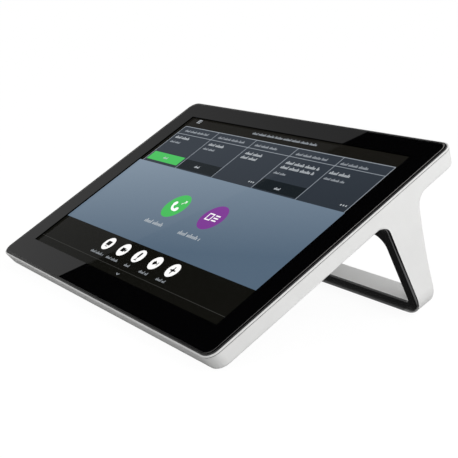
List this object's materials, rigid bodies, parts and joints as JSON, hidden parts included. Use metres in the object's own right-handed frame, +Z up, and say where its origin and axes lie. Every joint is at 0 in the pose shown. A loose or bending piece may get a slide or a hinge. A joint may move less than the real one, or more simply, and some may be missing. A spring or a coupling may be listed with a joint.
{
  "type": "tabletop touch control panel",
  "caption": "Sloping table-top touch panel for calls: black cover glass over a wide display, thin white shell and a hoop stand moulded with it.",
  "frame": {"origin": "on the table, below the middle of the part's box", "axes": "+X to the right of someone facing the screen, +Y away from them, +Z up"},
  "size_m": [0.2548, 0.15, 0.088],
  "materials": {
    "white_shell": "fine moulded satin",
    "black_face": "fine moulded satin",
    "cover_glass": "polished, printed black at the back",
    "foot_rubber": "matt",
    "black_tape": "matt",
    "display_layers": "polished",
    "clear_acrylic": "polished",
    "steel_sheet": "plain sheet",
    "cast_chassis": "die cast, bead blasted",
    "circuit_board": "solder mask",
    "chip_black": "moulded",
    "ribbon_film": "satin film",
    "pad_grey": "matt",
    "screw_steel": "plated",
    "can_aluminium": "plain",
    "key_grey": "moulded"
  },
  "bodies": {
    "panel": {"body_shell": "white_shell", "hoop_face": "black_face", "front_feet": "foot_rubber", "rear_foot": "foot_rubber", "front_frame": "white_shell", "cover_glass": "cover_glass", "glass_tape": "black_tape", "touch_sensor": "display_layers", "lcd_cell": "display_layers", "light_guide": "clear_acrylic", "backlight_strip": "chip_black", "lcd_pan": "steel_sheet", "mid_chassis": "cast_chassis", "chassis_screws": "screw_steel", "main_board": "circuit_board", "board_screws": "screw_steel", "processor": "chip_black", "thermal_pad": "pad_grey", "memory_chips": "chip_black", "shield_can": "steel_sheet", "poe_transformer": "chip_black", "filter_capacitors": "can_aluminium", "ethernet_jack": "chip_black", "display_ribbon": "ribbon_film", "touch_ribbon": "ribbon_film", "ribbon_connectors": "chip_black", "restore_switch": "chip_black", "speaker": "chip_black", "lock_plate": "steel_sheet"},
    "restore_key": {"restore_button": "key_grey"}
  },
  "joints": [
    {"name": "restore_press", "type": "slide", "parent": "panel", "child": "restore_key", "axis": [0, -0.4772, 0.8788], "range_m": [0, 0.0008], "stiffness_N_per_m": 500}
  ]
}
